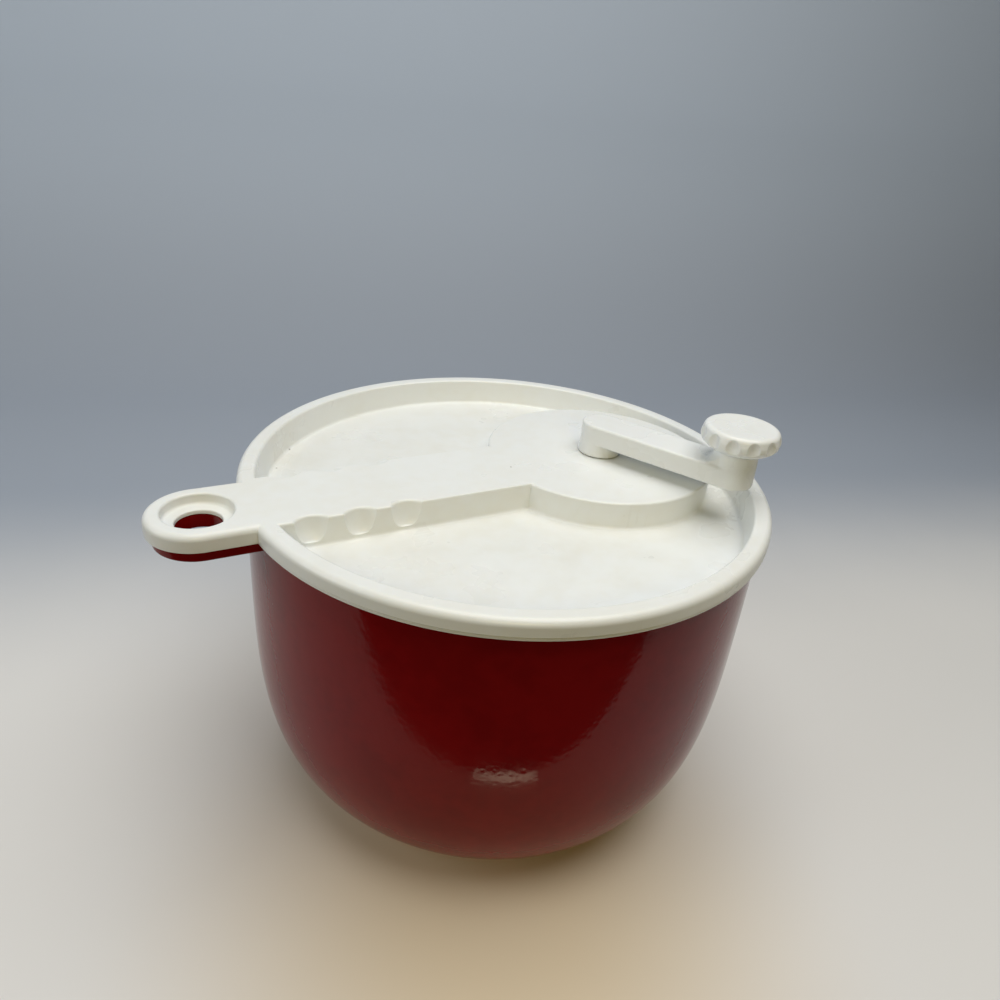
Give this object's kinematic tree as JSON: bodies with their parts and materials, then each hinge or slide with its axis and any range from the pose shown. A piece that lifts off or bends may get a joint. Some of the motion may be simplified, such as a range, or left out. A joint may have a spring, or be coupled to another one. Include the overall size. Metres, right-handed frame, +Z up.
{
  "type": "salad spinner",
  "caption": "Hand-cranked salad spinner: a deep bowl with a hang tab, a slotted basket inside and a tray lid with a raised finger grip and a geared crank.",
  "frame": {"origin": "centre of the bowl's flat base, on the surface it stands on", "axes": "+Z up the spin axis, -X towards the handle tab, +X towards the crank's axis"},
  "size_m": [0.2929, 0.254, 0.2117],
  "materials": {
    "white_plastic": "satin moulded, slightly creamy",
    "red_plastic": "high gloss moulded",
    "natural_nylon": "matte moulded",
    "steel": "bright plated"
  },
  "bodies": {
    "bowl": {"bowl": "red_plastic", "bowl_pivot_pin": "steel"},
    "basket_seat": {"basket_bearing": "natural_nylon", "bearing_ring": "steel"},
    "basket": {"basket": "white_plastic"},
    "lid": {"lid": "white_plastic", "gear_cover": "white_plastic", "cover_screw_1": "steel", "cover_screw_2": "steel", "cover_screw_3": "steel", "cover_screw_4": "steel", "cover_screw_5": "steel", "cover_screw_6": "steel", "crank_bush": "natural_nylon", "spindle_bush": "natural_nylon"},
    "crank": {"crank": "white_plastic", "crank_shaft": "steel", "drive_gear": "natural_nylon", "gear_washer": "steel", "gear_screw": "steel", "knob_pin": "natural_nylon"},
    "knob": {"knob": "white_plastic"},
    "driver": {"spindle": "steel", "pinion": "natural_nylon", "basket_driver": "white_plastic", "driver_washer": "steel", "driver_screw": "steel"}
  },
  "joints": [
    {"name": "basket_lift", "type": "slide", "parent": "bowl", "child": "basket_seat", "axis": [0, 0, 1], "range_m": [0, 0.18]},
    {"name": "basket_spin", "type": "hinge", "parent": "basket_seat", "child": "basket", "pos_m": [0, 0, 0.02], "axis": [0, 0, 1], "continuous": true},
    {"name": "lid_lift", "type": "slide", "parent": "basket_seat", "child": "lid", "axis": [0, 0, 1], "range_m": [0, 0.12]},
    {"name": "crank_spin", "type": "hinge", "parent": "lid", "child": "crank", "pos_m": [0.054, 0, 0.1761], "axis": [0, 0, 1], "continuous": true},
    {"name": "knob_spin", "type": "hinge", "parent": "crank", "child": "knob", "pos_m": [0.08645, -0.0618, 0.205], "axis": [0, 0, 1], "continuous": true},
    {"name": "driver_spin", "type": "hinge", "parent": "lid", "child": "driver", "pos_m": [0, 0, 0.15], "axis": [0, 0, 1], "continuous": true}
  ],
  "couplings": [
    {"joint": "driver_spin", "follows": "crank_spin", "ratio": -3.5},
    {"joint": "basket_spin", "follows": "crank_spin", "ratio": -3.5}
  ]
}
